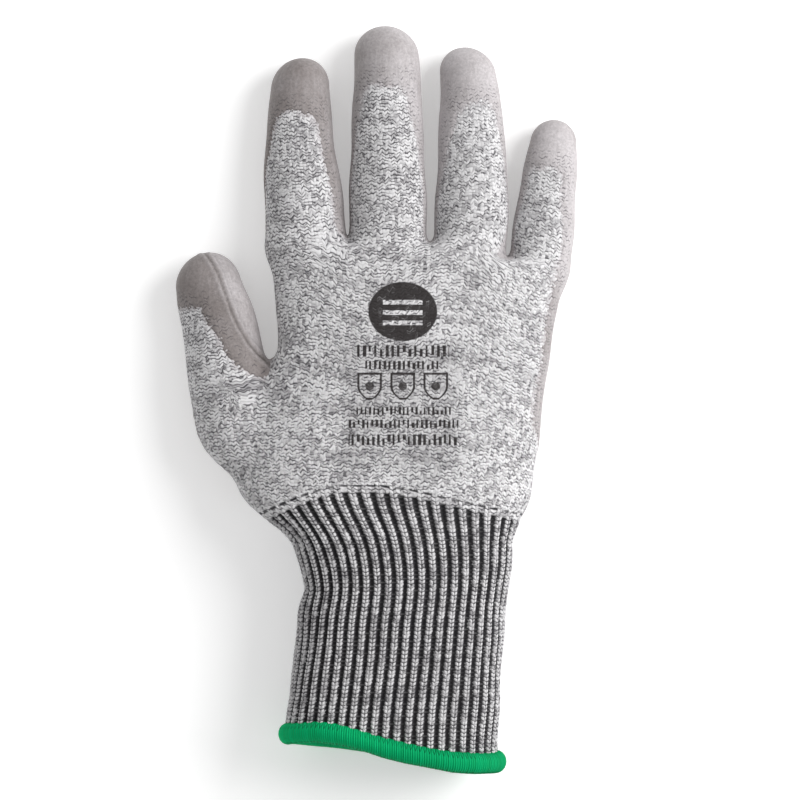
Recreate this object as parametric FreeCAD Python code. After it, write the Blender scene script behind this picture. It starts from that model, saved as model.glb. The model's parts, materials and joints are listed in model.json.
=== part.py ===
import FreeCAD, Part
import math
import os

# A knitted cut-resistant work glove for the right hand, filled out as on a hand and lying palm down.
# Millimetres. +X points to the little finger's side, +Y to the fingertips, +Z to the back of the hand.
# The origin is on the flat of the palm that the glove rests on, in the middle of the palm.
#
# Layers: one seamless knit shell, a polymer film on its palm and fingertips, a ribbed cuff with elastic
# threads inside it, and an overlocked hem. The knit and the film are cut into sections at every place
# where the glove bends, and a short fold section stands for the cloth that creases there.

# ---- layers -------------------------------------------------------------------------------------
FILM = 0.5            # thickness of the palm film
KNIT = 1.2            # thickness of the knit wall
RIB = 1.8             # thickness of the ribbed cuff wall
REST_FLAT = 0.4       # depth by which the soft underside flattens on the table
GAP = 0.8             # half width of a fold on the back of the hand, at the hinge axis
OUTSIDE = FILM        # inset of the knit's outer face from the film's outer face
INSIDE = FILM + KNIT  # inset of the knit's inner face
LAYERS = {"film": 0.0, "knit": OUTSIDE, "cavity": INSIDE}

# ---- hand and cuff: stations along Y, each (y, left x, right x, height) --------------------------
HAND_STATIONS = [
    (-43.0, -38.5, 41.9, 41.0),
    (-35.0, -47.5, 45.6, 39.0),
    (-24.0, -54.5, 48.2, 36.5),
    (-8.0, -53.0, 49.6, 34.0),
    (8.0, -44.5, 51.2, 31.5),
    (25.0, -39.2, 54.6, 29.0),
    (40.0, -39.6, 58.3, 26.0),
    (57.0, -42.0, 61.6, 23.0),
]
CUFF_STATIONS = [
    (-41.0, -38.0, 41.6, 41.0),
    (-47.0, -34.5, 40.5, 41.5),
    (-55.0, -31.5, 39.9, 42.0),
    (-63.3, -29.3, 38.9, 42.0),
    (-71.5, -31.5, 37.9, 42.0),
    (-83.5, -33.2, 37.2, 42.5),
    (-103.5, -35.2, 35.8, 43.0),
    (-126.0, -36.2, 35.4, 43.5),
]
STATION_PITCH = 8.5   # spacing of the sections that the lofts run through
OVAL_POWER = 2.5      # 2 is an ellipse, more is squarer
OVAL_POINTS = 28      # points on each section's curve
CUFF_JOIN_Y = -41.0   # where the rib starts
# The palm film's side edge, (y, height): at its end towards the wrist and past the finger roots.
PALM_FILM_WRIST = (-31.0, 16.0)
PALM_FILM_ROOTS = (60.0, 11.5)
# Top edge of the hand in plan, which the crotches between the fingers sit on.
CROTCH_LINE = [(-60.0, 53.5), (37.5, 52.0), (80.0, 40.5)]

# ---- hem: its line tilts, because the cuff is longer on the little finger's side ------------------
HEM_LEFT = (-36.0, -113.2)
HEM_RIGHT = (35.6, -120.6)
HEM_RADIUS = 3.1
# Elastic threads inside the cuff: their number, thickness, first place along Y and spacing.
ELASTIC_RINGS = 9
ELASTIC_SIZE = 0.6
ELASTIC_FIRST_Y = -66.0
ELASTIC_PITCH = 5.0

# ---- fingers ------------------------------------------------------------------------------------
# root and tip: plan points on the centre line, at the crotch and at the very end.
# widths: at the root, half way and where the round end starts. joints: distances from the root to the
# hinges. tip_film: length of the end that the film covers all round.
FINGERS = {
    "index": {
        "root": (-28.7, 53.5), "tip": (-30.8, 114.6), "widths": (25.8, 23.4, 20.4),
        "joints": (8.0, 26.5, 43.0), "tip_film": 18.0,
    },
    "middle": {
        "root": (-1.8, 53.5), "tip": (-2.0, 125.3), "widths": (26.0, 24.2, 22.8),
        "joints": (8.0, 31.0, 51.5), "tip_film": 20.0,
    },
    "ring": {
        "root": (26.2, 52.5), "tip": (26.0, 118.3), "widths": (23.8, 22.9, 21.0),
        "joints": (8.0, 28.5, 47.0), "tip_film": 18.0,
    },
    "little": {
        "root": (49.8, 47.0), "tip": (54.9, 93.8), "widths": (20.6, 19.4, 17.0),
        "joints": (7.0, 21.0, 33.5), "tip_film": 15.0,
    },
}
THUMB = {
    "root": (-54.8, 6.5), "tip": (-62.6, 49.4), "widths": (26.6, 25.0, 22.0),
    "joints": (10.5, 25.5), "tip_film": 20.0,
}
THUMB_ROLL = 22.0     # turn of the thumb's bending from straight down towards the palm, degrees
THUMB_FILM_ROLL = 50.0  # the same for the side of the thumb that the film covers
HEIGHT_SHARE = 0.88   # height of a finger over its width
FILM_SHARE = 0.56     # share of a finger's height that the film climbs at the sides
# The foot of a finger's core inside the hand: length beyond the root, share of the width, centre height.
FINGER_FOOT = (9.0, 0.78, 11.0)
THUMB_FOOT = (32.0, 0.72, 16.5)
AXIS_SHARE = 0.36     # height of a bending axis over the height of the section

# ---- ranges of the hinges, degrees: (back, towards the palm) --------------------------------------
BASE_BEND = (-5.0, 45.0)
MIDDLE_BEND = (0.0, 80.0)
TIP_BEND_RATIO = 0.45
KNUCKLE_BEND = (-10.0, 45.0)
WRIST_BEND = (-40.0, 40.0)
THUMB_BASE_BEND = (-10.0, 20.0)
THUMB_TIP_BEND = (0.0, 50.0)
# Places of the two axes that lie across the whole hand, (y, height).
KNUCKLE_AXIS = (31.0, 10.0)
WRIST_AXIS = (-53.0, 20.0)
FOLD_MARGIN = 2.5     # degrees of room added to each side of a fold
FOLD_RISE = 60.0      # how far a fold's wedge reaches above and below its axis

# ---- helpers ------------------------------------------------------------------------------------
UP = FreeCAD.Vector(0, 0, 1)
FORWARD = FreeCAD.Vector(0, 1, 0)
FAR = 400.0           # well beyond the glove
SLIVER = 1.0          # solids smaller than this, in mm3, are dropped


def oval(station, inset):
    """Closed wire of one cross-section in a plane of constant Y, drawn in by the inset."""
    y, left, right, height = station
    half_x = (right - left) / 2 - inset
    half_z = height / 2 - inset
    middle_x = (left + right) / 2
    middle_z = height / 2 - REST_FLAT
    points = []
    for k in range(OVAL_POINTS):
        turn = 2 * math.pi * k / OVAL_POINTS
        c, s = math.cos(turn), math.sin(turn)
        x = half_x * math.copysign(abs(c) ** (2 / OVAL_POWER), c)
        z = half_z * math.copysign(abs(s) ** (2 / OVAL_POWER), s)
        points.append(FreeCAD.Vector(middle_x + x, y, middle_z + z))
    curve = Part.BSplineCurve()
    curve.interpolate(points, PeriodicFlag=True)
    return Part.Wire(curve.toShape())


def even_stations(stations, pitch):
    """The stations blended smoothly onto an even spacing along Y, which lofts without overshoot."""
    stations = sorted(stations)
    steps = round((stations[-1][0] - stations[0][0]) / pitch)
    even = []
    for k in range(steps + 1):
        y = stations[0][0] + (stations[-1][0] - stations[0][0]) * k / steps
        upper = next((i for i in range(1, len(stations)) if y <= stations[i][0]), len(stations) - 1)
        low, high = stations[upper - 1], stations[upper]
        share = (y - low[0]) / (high[0] - low[0])
        smooth = share * share * (3 - 2 * share)
        blend = (share + smooth) / 2
        even.append((y, *[a + (b - a) * blend for a, b in zip(low[1:], high[1:])]))
    return even


def tube_core(stations, inset):
    """Solid filling the ovals of the stations, drawn in by the inset and flattened underneath."""
    wires = [oval(s, inset) for s in even_stations(stations, STATION_PITCH)]
    return flatten(Part.makeLoft(wires, True, False), inset)


def slab(low, high):
    """Box between two corners."""
    size = [b - a for a, b in zip(low, high)]
    return Part.makeBox(*size, FreeCAD.Vector(*low))


def flatten(solid, inset):
    """The solid without what lies below the resting plane, raised by the inset."""
    return solid.common(slab((-FAR, -FAR, inset), (FAR, FAR, FAR)))


def plan_prism(points):
    """Upright prism through everything, on a plan outline."""
    wire = Part.makePolygon([FreeCAD.Vector(x, y, -FAR) for x, y in points + points[:1]])
    return Part.Face(wire).extrude(UP * (2 * FAR))


def below_crotches(inset):
    """Everything on the wrist's side of the crotch line, drawn in by the inset."""
    line = [(x, y - inset) for x, y in CROTCH_LINE]
    return plan_prism(line + [(FAR, -FAR), (-FAR, -FAR)])


# ---- fingers: local frame and sections -------------------------------------------------------------
def finger_frame(finger):
    """Root point, direction, sideways direction and length of a finger in plan."""
    root = FreeCAD.Vector(*finger["root"], 0)
    run = FreeCAD.Vector(*finger["tip"], 0) - root
    along = FreeCAD.Vector(run)
    along.normalize()
    across = along.cross(UP)
    return root, along, across, run.Length


def width_at(finger, s):
    """Width of the finger at a distance from its root, outside the film."""
    length = finger_frame(finger)[3]
    wide, middle, narrow = finger["widths"]
    round_start = length - narrow / 2
    share = min(max(s / round_start, 0.0), 1.0)
    if share < 0.5:
        return wide + (middle - wide) * share * 2
    return middle + (narrow - middle) * (share - 0.5) * 2


def section(finger, s, width, height, middle_z):
    """Elliptical wire across the finger at a distance from its root."""
    root, along, across, _ = finger_frame(finger)
    edge = Part.Ellipse(FreeCAD.Vector(0, 0, 0), width / 2, height / 2).toShape()
    wire = Part.Wire(edge)
    centre = root + along * s + UP * middle_z
    turn = FreeCAD.Rotation(across, UP, across.cross(UP), "XYZ")
    wire.Placement = FreeCAD.Placement(centre, turn)
    return wire


def round_end(finger, inset):
    """Half ellipsoid that closes the finger's end, drawn in by the inset."""
    root, along, across, length = finger_frame(finger)
    narrow = finger["widths"][2]
    middle_z = narrow * HEIGHT_SHARE / 2 - REST_FLAT
    centre = root + along * (length - narrow / 2) + UP * middle_z
    stretch = FreeCAD.Matrix()
    stretch.scale(narrow / 2 - inset, narrow * HEIGHT_SHARE / 2 - inset, narrow / 2 - inset)
    ball = Part.makeSphere(1.0, FreeCAD.Vector(0, 0, 0), UP, 0, 90, 360).transformGeometry(stretch)
    ball.Placement = FreeCAD.Placement(centre, FreeCAD.Rotation(across, -UP, along, "XYZ"))
    return ball


def finger_core(finger, inset, foot):
    """Solid filling the finger from inside the hand to its round end, drawn in by the inset."""
    round_start = finger_frame(finger)[3] - finger["widths"][2] / 2
    buried, share, foot_z = foot
    foot_width = finger["widths"][0] * share - 2 * inset
    wires = [section(finger, -buried, foot_width, foot_width * HEIGHT_SHARE, foot_z)]
    for s in (0.0, round_start / 3, round_start * 2 / 3, round_start):
        width = width_at(finger, s)
        height = width * HEIGHT_SHARE
        wires.append(section(finger, s, width - 2 * inset, height - 2 * inset, height / 2 - REST_FLAT))
    whole = Part.makeLoft(wires, True, False).fuse(round_end(finger, inset))
    return flatten(whole, inset)


def back_of(finger, thumb_roll=THUMB_ROLL):
    """Direction that the back of the finger faces."""
    across = finger_frame(finger)[2]
    roll = math.radians(thumb_roll if finger is THUMB else 0.0)
    return UP * math.cos(roll) - across * math.sin(roll)


def centre_at(finger, s):
    """Centre of the finger's section at a distance from its root."""
    root, along, _, _ = finger_frame(finger)
    return root + along * s + UP * (width_at(finger, s) * HEIGHT_SHARE / 2 - REST_FLAT)


def hinge_point(finger, s):
    """Point on the bending axis at a distance from the finger's root: nearer the pad than the back."""
    height = width_at(finger, s) * HEIGHT_SHARE
    return centre_at(finger, s) - back_of(finger) * (height * (0.5 - AXIS_SHARE))


def half_space(point, direction):
    """Everything on the far side of the plane through a point, across a direction."""
    turn = FreeCAD.Rotation(UP, direction)
    box = Part.makeBox(2 * FAR, 2 * FAR, 2 * FAR)
    corner = point - turn.multVec(FreeCAD.Vector(FAR, FAR, 0))
    box.Placement = FreeCAD.Placement(corner, turn)
    return box


def fold_prism(point, along, back, bend, reach):
    """Prism of a fold: a wedge each side of the axis, wide enough for the bend's two ends."""
    across = along.cross(back)
    open_back = FOLD_RISE * math.tan(math.radians(-bend[0] / 2 + FOLD_MARGIN))
    open_palm = FOLD_RISE * math.tan(math.radians(bend[1] / 2 + FOLD_MARGIN))
    outline = [
        (-GAP, 0.0),
        (-GAP - open_palm, -FOLD_RISE),
        (GAP + open_palm, -FOLD_RISE),
        (GAP, 0.0),
        (GAP + open_back, FOLD_RISE),
        (-GAP - open_back, FOLD_RISE),
    ]
    start = point - across * reach
    corners = [start + along * u + back * v for u, v in outline]
    wire = Part.makePolygon(corners + corners[:1])
    return Part.Face(wire).extrude(across * (2 * reach))


def finger_folds(finger, bends):
    """Hinge points and fold prisms of a finger, from its root outwards."""
    along, back = finger_frame(finger)[1], back_of(finger)
    points = [hinge_point(finger, s) for s in finger["joints"]]
    reach = finger["widths"][0]
    return points, [fold_prism(p, along, back, bend, reach) for p, bend in zip(points, bends)]


def film_cover(finger):
    """Region of a finger that the film covers: its palm side, and its end all round."""
    along = finger_frame(finger)[1]
    length = finger_frame(finger)[3]
    back = back_of(finger, THUMB_FILM_ROLL)
    tip_start = centre_at(finger, length - finger["tip_film"])
    height = finger["widths"][1] * HEIGHT_SHARE
    edge = centre_at(finger, length / 2) + back * (height * (FILM_SHARE - 0.5))
    return half_space(edge, back * -1).fuse(half_space(tip_start, along))


def solids_of(*shapes):
    """The shapes' solids, without slivers."""
    return [s for shape in shapes for s in shape.Solids if s.Volume > SLIVER]


def export(name, *shapes):
    """Writes the solids as one node and prints its size."""
    solids = solids_of(*shapes)
    node = solids[0] if len(solids) == 1 else Part.makeCompound(solids)
    node.exportStep("parts/" + name + ".step")
    print(f"{name}: {len(solids)} solid, {node.Volume:.0f} mm3, valid {node.isValid()}")


def build_finger(name, finger, foot, sections, bends):
    """Writes a finger's sections and returns its cores inside the hand, by layer."""
    root, along, _, _ = finger_frame(finger)
    cores = {layer: finger_core(finger, inset, foot) for layer, inset in LAYERS.items()}
    knit = cores["knit"].cut(cores["cavity"])
    film = cores["film"].cut(cores["knit"]).common(film_cover(finger))
    points, folds = finger_folds(finger, bends)
    prisms = Part.makeCompound(folds)
    layers = {"knit": knit.cut(prisms).Solids, "coating": film.cut(prisms).Solids}
    wall = cores["film"].cut(cores["cavity"])
    starts = [(p - root).dot(along) for p in points] + [FAR]
    for k, part_name in enumerate(sections):
        for layer, solids in layers.items():
            here = [s for s in solids if starts[k] < (s.CenterOfMass - root).dot(along) < starts[k + 1]]
            export(f"{layer}_{name}_{part_name}", *here)
        export(f"fold_{name}_{part_name}", wall.common(folds[k]))
    beyond = half_space(points[0], along)
    return {layer: core.cut(beyond).cut(folds[0]) for layer, core in cores.items()}


def hand_core(layer, roots):
    """Solid filling the palm and the roots of the fingers and thumb, for one layer."""
    inset = LAYERS[layer]
    palm = tube_core(HAND_STATIONS, inset).common(below_crotches(inset))
    for core in roots:
        palm = palm.fuse(core[layer])
    return palm


def palm_film_cover():
    """Region of the hand that the film covers: a slanting cut from the finger roots to the wrist."""
    top_y, top_z = PALM_FILM_ROOTS
    low_y, low_z = PALM_FILM_WRIST
    outline = [(low_y, -FAR), (low_y, low_z), (top_y, top_z), (top_y + FAR, top_z), (top_y + FAR, -FAR)]
    wire = Part.makePolygon([FreeCAD.Vector(-FAR, y, z) for y, z in outline + outline[:1]])
    return Part.Face(wire).extrude(FreeCAD.Vector(2 * FAR, 0, 0))


def knuckle_hinge():
    """Point on the axis that the four fingers bend on together."""
    return FreeCAD.Vector(0, *KNUCKLE_AXIS)


def wrist_hinge():
    """Point on the axis that the cuff bends on."""
    return FreeCAD.Vector(0, *WRIST_AXIS)


def build_hand(roots):
    """Writes the palm, the finger panel and the knuckle fold between them."""
    cores = {layer: hand_core(layer, roots) for layer in LAYERS}
    wrist_end = slab((-FAR, CUFF_JOIN_Y, -FAR), (FAR, FAR, FAR))
    knit = cores["knit"].cut(cores["cavity"]).common(wrist_end)
    thumb_pad = film_cover(THUMB).common(roots[-1]["film"])
    film = cores["film"].cut(cores["knit"]).common(palm_film_cover().fuse(thumb_pad))
    film = film.common(wrist_end)
    fold = fold_prism(knuckle_hinge(), FORWARD, UP, KNUCKLE_BEND, FAR)
    crease = fold.common(cores["film"].cut(cores["cavity"]))
    for layer, shape in (("knit", knit), ("coating", film)):
        solids = shape.cut(fold).Solids
        export(layer + "_palm", *[s for s in solids if s.CenterOfMass.y < KNUCKLE_AXIS[0]])
        export(layer + "_finger_panel", *[s for s in solids if s.CenterOfMass.y > KNUCKLE_AXIS[0]])
    export("fold_knuckles", crease)


def hem_plane_y(x):
    """Where the hem's centre line is along Y, for a place across the cuff."""
    slope = (HEM_RIGHT[1] - HEM_LEFT[1]) / (HEM_RIGHT[0] - HEM_LEFT[0])
    return HEM_LEFT[1] + (x - HEM_LEFT[0]) * slope


def cuff_wall(outer, inner):
    """The cuff's tube between two insets, cut off at the hem's line."""
    end = plan_prism([(x, hem_plane_y(x)) for x in (-FAR, FAR)] + [(FAR, FAR), (-FAR, FAR)])
    start = slab((-FAR, -FAR, -FAR), (FAR, CUFF_JOIN_Y, FAR))
    wall = tube_core(CUFF_STATIONS, outer).cut(tube_core(CUFF_STATIONS, inner))
    return wall.common(end).common(start)


def build_cuff():
    """Writes the rib's two sections, the wrist fold, the elastic threads and the hem."""
    wall = cuff_wall(OUTSIDE, OUTSIDE + RIB)
    fold = fold_prism(wrist_hinge(), FORWARD, UP, WRIST_BEND, FAR)
    solids = wall.cut(fold).Solids
    export("cuff_rib_upper", *[s for s in solids if s.CenterOfMass.y > WRIST_AXIS[0]])
    export("cuff_rib", *[s for s in solids if s.CenterOfMass.y < WRIST_AXIS[0]])
    export("fold_wrist", wall.common(fold))
    lining = cuff_wall(OUTSIDE + RIB, OUTSIDE + RIB + ELASTIC_SIZE)
    rings = []
    for k in range(ELASTIC_RINGS):
        y = ELASTIC_FIRST_Y - k * ELASTIC_PITCH
        rings.append(lining.common(slab((-FAR, y, -FAR), (FAR, y + ELASTIC_SIZE, FAR))))
    export("cuff_elastic", *rings)
    export("hem_binding", hem_ring().cut(wall))


def hem_ring():
    """Round cord of thread along the cuff's edge, flattened where it lies on the table."""
    left, right, height = CUFF_STATIONS[-1][1:]
    inset = OUTSIDE + RIB / 2
    half_x = (right - left) / 2 - inset
    half_z = height / 2 - inset
    middle_x = (left + right) / 2
    points = []
    for k in range(OVAL_POINTS):
        turn = 2 * math.pi * k / OVAL_POINTS
        c, s = math.cos(turn), math.sin(turn)
        x = middle_x + half_x * math.copysign(abs(c) ** (2 / OVAL_POWER), c)
        z = height / 2 - REST_FLAT + half_z * math.copysign(abs(s) ** (2 / OVAL_POWER), s)
        points.append(FreeCAD.Vector(x, hem_plane_y(x) + HEM_RADIUS / 2, z))
    path = Part.BSplineCurve()
    path.interpolate(points, PeriodicFlag=True)
    start, heading = path.value(path.FirstParameter), path.tangent(path.FirstParameter)[0]
    profile = Part.Wire(Part.makeCircle(HEM_RADIUS, start, heading))
    ring = Part.Wire(path.toShape()).makePipeShell([profile], True, False)
    return flatten(ring, 0.0)


def main():
    os.makedirs("parts", exist_ok=True)
    finger_bends = [BASE_BEND, MIDDLE_BEND, tuple(TIP_BEND_RATIO * angle for angle in MIDDLE_BEND)]
    roots = []
    for name, finger in FINGERS.items():
        roots.append(build_finger(name, finger, FINGER_FOOT, ("base", "middle", "tip"), finger_bends))
    thumb_bends = [THUMB_BASE_BEND, THUMB_TIP_BEND]
    roots.append(build_finger("thumb", THUMB, THUMB_FOOT, ("base", "tip"), thumb_bends))
    build_hand(roots)
    build_cuff()


if __name__ == "__main__":
    main()
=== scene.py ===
"""Blender scene of a knitted cut-resistant glove, built around its CAD frame. The shape code works in mm."""
import json
import math
from functools import partialmethod
import bpy
import numpy as np
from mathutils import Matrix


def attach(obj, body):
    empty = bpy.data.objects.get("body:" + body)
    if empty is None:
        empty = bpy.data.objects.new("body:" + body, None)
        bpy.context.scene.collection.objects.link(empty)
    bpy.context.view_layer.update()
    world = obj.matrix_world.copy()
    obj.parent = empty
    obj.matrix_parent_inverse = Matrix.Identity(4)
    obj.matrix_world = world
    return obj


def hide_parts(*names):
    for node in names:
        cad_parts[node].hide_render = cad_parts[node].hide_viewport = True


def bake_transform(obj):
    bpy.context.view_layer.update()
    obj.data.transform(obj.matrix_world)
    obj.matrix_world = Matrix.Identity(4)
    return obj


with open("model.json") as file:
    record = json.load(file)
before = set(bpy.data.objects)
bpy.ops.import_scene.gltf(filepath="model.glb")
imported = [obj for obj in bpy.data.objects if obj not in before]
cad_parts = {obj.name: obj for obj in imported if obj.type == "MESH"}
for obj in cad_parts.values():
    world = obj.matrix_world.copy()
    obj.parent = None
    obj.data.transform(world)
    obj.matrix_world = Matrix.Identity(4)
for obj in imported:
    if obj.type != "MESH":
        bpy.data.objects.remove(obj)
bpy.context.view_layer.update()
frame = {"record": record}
MM = 0.001
JOINTS = {j["name"]: j for j in frame["record"]["behaviour"]["joints"]}

# ---- knit gauge ----
WALE = 1.95          # mm across one stitch of the hand
CUFF_WALE = 1.74     # the same where the hand meets the cuff
COURSE = 1.2         # mm along one stitch
RIBS = 50            # ribs round the cuff
RIB_FACE = 0.60      # share of a rib's pitch that its light stitches take
RIB_COURSE = 1.3     # mm along one stitch of the cuff
STITCH_LIFT = 0.25   # mm from the valley between stitches to the top of a leg
STITCH_SLANT = -0.8  # how far a leg climbs, in courses, from the middle of a wale to its edge
DRIFT = 3.5          # mm that the courses wander up and down between the fingers' roots
LEAN = 0.0034        # how fast the courses turn down towards the little finger's side, in 1/mm

# ---- shape of the hand and cuff: (y, left x, right x, height) ----
STATIONS = np.array([
    (-128, -37, 35, 43.5), (-113, -36, 35, 43.3), (-103.5, -35, 35.4, 43),
    (-95.5, -33.6, 35.8, 42.8), (-87.4, -32.4, 36.7, 42.6), (-79.4, -31.9, 37.4, 42.4),
    (-71.4, -31.5, 37.9, 42.2), (-67.3, -30.6, 38.4, 42), (-63.3, -29, 38.9, 42),
    (-59.3, -30.2, 39.3, 42), (-55.3, -31.4, 39.9, 42), (-51.3, -32.6, 40.1, 42),
    (-47.2, -33.6, 40.3, 41.8), (-43.2, -37, 41.8, 41.2), (-39.2, -42.8, 43.4, 40),
    (-35.2, -48.2, 45.6, 39), (-31.2, -51.3, 46.8, 38), (-27, -52.7, 47.6, 37.2),
    (-23, -53.3, 48.2, 36.4), (-16, -52.8, 49, 35.2), (-8, -50, 49.4, 34),
    (0, -46, 50.3, 32.7), (8, -42.5, 51.3, 31.5), (17, -38.7, 52.9, 30.2),
    (25, -38.5, 54.4, 29), (33, -38.9, 55.8, 27.6), (41, -39.8, 57.7, 26),
    (49, -41, 59.6, 24.4), (60, -42.5, 61.6, 22.6)])
OVAL_POWER = 2.5  # 2 would be an ellipse, more is boxier
SUNK = 0.4        # mm that the soft underside flattens
# Line across the hand at which the fingers part.
CROTCH_X = (-60, 20, 36, 80)
CROTCH_Y = (53, 52.6, 47.3, 43.6)

# ---- fingers and thumb: widths at even steps from the root to where the round end starts ----
# climb: how far the film climbs above the middle on the left and on the right side, in degrees
# rise: how much further it climbs close to the fingertip
LIMBS = {
    "index": dict(root=(-28.7, 53.5), tip=(-30.8, 114.6), widths=(27.4, 26.2, 24.1, 22.1, 19.6), bow=-0.8,
                  tip_film=18.5, climb=(2, 40), rise=(38, 17), wales=39),
    "middle": dict(root=(-1.3, 53.5), tip=(-1.9, 125.9), widths=(26.6, 25.3, 23.9, 23.4, 21), bow=0,
                   tip_film=20.5, climb=(10, 20), rise=(38, 36), wales=39),
    "ring": dict(root=(25.8, 52.5), tip=(24.4, 118.3), widths=(24.6, 24, 22.7, 21.8, 18.1), bow=1.9,
                 tip_film=18.5, climb=(15, 8), rise=(52, 32), wales=36),
    "little": dict(root=(49.8, 47), tip=(54.8, 93.8), widths=(20.6, 20.3, 19.1, 18.1, 15.1), bow=0.2,
                   tip_film=15.5, climb=(8, 46), rise=(30, 18), wales=30),
    "thumb": dict(root=(-54.4, 6.5), tip=(-63.3, 49.3), widths=(28, 26.5, 25.4, 24.2, 22), bow=0,
                  wales=39),
}
FINGERS = ("index", "middle", "ring", "little")
THUMB = LIMBS["thumb"]
HEIGHT_SHARE = 0.88        # a finger's height over its width
FINGER_FOOT = (1.0, 12.0)  # mm beyond the root at full width, and length of the round foot
THUMB_FOOT = (14.0, 18.0)
THUMB_FOOT_Z = 16.0        # mm above the ground of the thumb's axis inside the hand
THUMB_WEB = 5              # mm over which the thumb runs into the hand
FINGER_WEB = 4             # the same for the fingers and the hand
BETWEEN_FINGERS = 1.2      # and for one finger and the next
CROTCH_ROUND = 5           # mm of rounding from the back of the hand to the crotch line
GROUND_ROUND = 2           # mm of rounding at the flat underside
# Plan line that the thumb's film starts from, and the crease that the dipping mould leaves in it.
THUMB_FILM_EDGE = ((-72, 30.5), (-64.1, 30.8), (-61.9, 25.3), (-57.1, 19.7), (-55.5, 15.5), (-52.1, 11.4),
                   (-46, 7.5), (-40, 4.5))
RIDGE = ((-66, 51), (-62.4, 48.9), (-60.2, 46), (-58, 41.9), (-55.7, 35.5), (-53.5, 29.5),
         (-51.2, 24.4), (-48, 19.1), (-44.6, 15), (-40.6, 11.4))

# ---- cuff and hem ----
# Line of the cuff's upper end on the back of the hand: an arch. Underneath it is straight, at JOIN_LOW.
JOIN_X = (-46, -42, -36, -30, -23, -17, -5, 5, 16, 28, 36, 44)
JOIN_TOP = (-38, -36.5, -34, -31.6, -29.4, -28.4, -28.3, -29.5, -32, -34.8, -36.5, -38.2)
JOIN_LOW = -40.0
# Line of the hem's middle on the back: wavy. Underneath it runs straight from HEM_LEFT to HEM_RIGHT.
HEM_X = (-40, -36, -31, -25, -18, -10, -3, 5, 13, 20, 28, 36, 40)
HEM_TOP = (-111.2, -111.2, -110.6, -110, -110.8, -112.8, -115,
           -117, -118.6, -119.9, -120.6, -120.8, -120.8)
HEM_LEFT = (-36, -111.5)
HEM_RIGHT = (35.6, -120.6)
HEM_SIZE = 6.5       # mm across the thread roll
HEM_WRAPS = 250      # turns of thread round it
PER_WRAP = 4         # mesh columns for each turn
CUFF_EASE = 13.0     # mm over which the ribs' run is smoothed along the cuff
OVAL_STEP = 2.0      # mm along the cuff between the rows of its outline table
PER_RIB = 10         # mesh columns for each rib, outside
INNER_PER_RIB = 6    # and inside
THREADS = 9          # elastic threads
THREAD_Y = -66.3     # mm, the first one
THREAD_STEP = 5.0    # mm from one to the next
THREAD_DEPTH = 2.45  # mm under the cuff's outside

# ---- places where the glove bends, in mm ----
THUMB_START = 4.0            # along the thumb, where its section starts
THUMB_SIDE_X = -39           # the thumb's section and film are left of this
THUMB_WALES_X = -30          # and its stitch columns left of this
FINGERS_FROM_Y = 44          # the fingers' sections are above this
BEND_HALF = 6.5              # length of cloth either side of the axis that takes part in a bend

# ---- mesh grids ----
FINE_STEP = (WALE / 4, COURSE / 3, 0.5)
FILM_STEP = (0.7, 0.7, 0.7)
NET_LOW, NET_HIGH = (-75.0, -44.0, -1.25), (66.0, 127.5, 43.0)
ARC_STEP = 2.0   # mm along the hand between the rows of the arc table
ARC_PARTS = 720  # and steps round it
ARC_Y = np.arange(-46.0, 60.1, ARC_STEP)
ARC_T = np.linspace(-np.pi, np.pi, ARC_PARTS + 1)

# ---- printed mark on the back of the hand, in mm ----
PRINT_X = 3.6
PRINT_Y = 0
DISC_UP = 29.5      # from PRINT_Y up to the disc's middle
DISC_RADIUS = 10.0
BARS_HALF = (6.6, 4.6)
BAR_PITCH = 3.45
SHIELD_UP = 4.6     # from PRINT_Y up to the shields' middle
SHIELD_STEP = 11.0  # from one shield to the next
# Each row of dashes: height above PRINT_Y, half width, half height, pitch.
PRINT_ROWS = ((16.3, 15.5, 1.9, 1.9), (11.6, 12.5, 1.4, 1.6), (-3.6, 16, 1.3, 1.4), (-7.9, 18.5, 1.4, 1.5),
              (-13.2, 18, 1.8, 1.7))

# ---- colours ----
LIGHT_YARN = (0.70, 0.69, 0.70)
GREY_YARN = (0.38, 0.37, 0.38)
# Dark strands of the yarn, and the painted shade in the gaps between stitches.
DARK_YARN_AND_SHADE = (0.045, 0.042, 0.048)
# Painted shade in the rib's grooves.
GROOVE_SHADE = (0.015, 0.014, 0.016)
# Painted shade in the dropped stitches.
DROPPED_STITCH_SHADE = (0.03, 0.028, 0.032)
# The film's colour runs between these two, set by its blotches and streaks and by painted light.
FILM_DARK = (0.205, 0.180, 0.173)
FILM_LIGHT = (0.500, 0.472, 0.482)
INK = (0.026, 0.022, 0.022)
HEM_DARK = (0, 0.315, 0.100)
HEM_LIGHT = (0, 0.440, 0.160)
ELASTIC_DARK = (0.55, 0.54, 0.50)
ELASTIC_LIGHT = (0.80, 0.79, 0.74)

# ---- light and camera, in metres and watts ----
WORLD_LIGHT = 0.52
FLOOR_GLOW = 0.30  # the floor is lit from below too, as on a light table
FLOOR_REACH = 6.0
FLOOR_Z = -0.0004
PAPER_DARK = (0.93, 0.93, 0.93)
PAPER_LIGHT = (0.96, 0.96, 0.96)
KEY_PLACE = (0.82, 0.29, 0.67)
KEY_SIZE = 0.9
KEY_POWER = 12.6
FILL_PLACE = (-0.9, 0.3, 1.2)
FILL_SIZE = 1.0
FILL_POWER = 0.8
CAMERA_X = 0.0027
CAMERA_HIGH = 2.5  # above the middle of the glove's height
MIDDLE_Z = 0.012
VIEW_WIDE = 0.268  # width of the view at that height
SENSOR = 36.0      # mm


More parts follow.
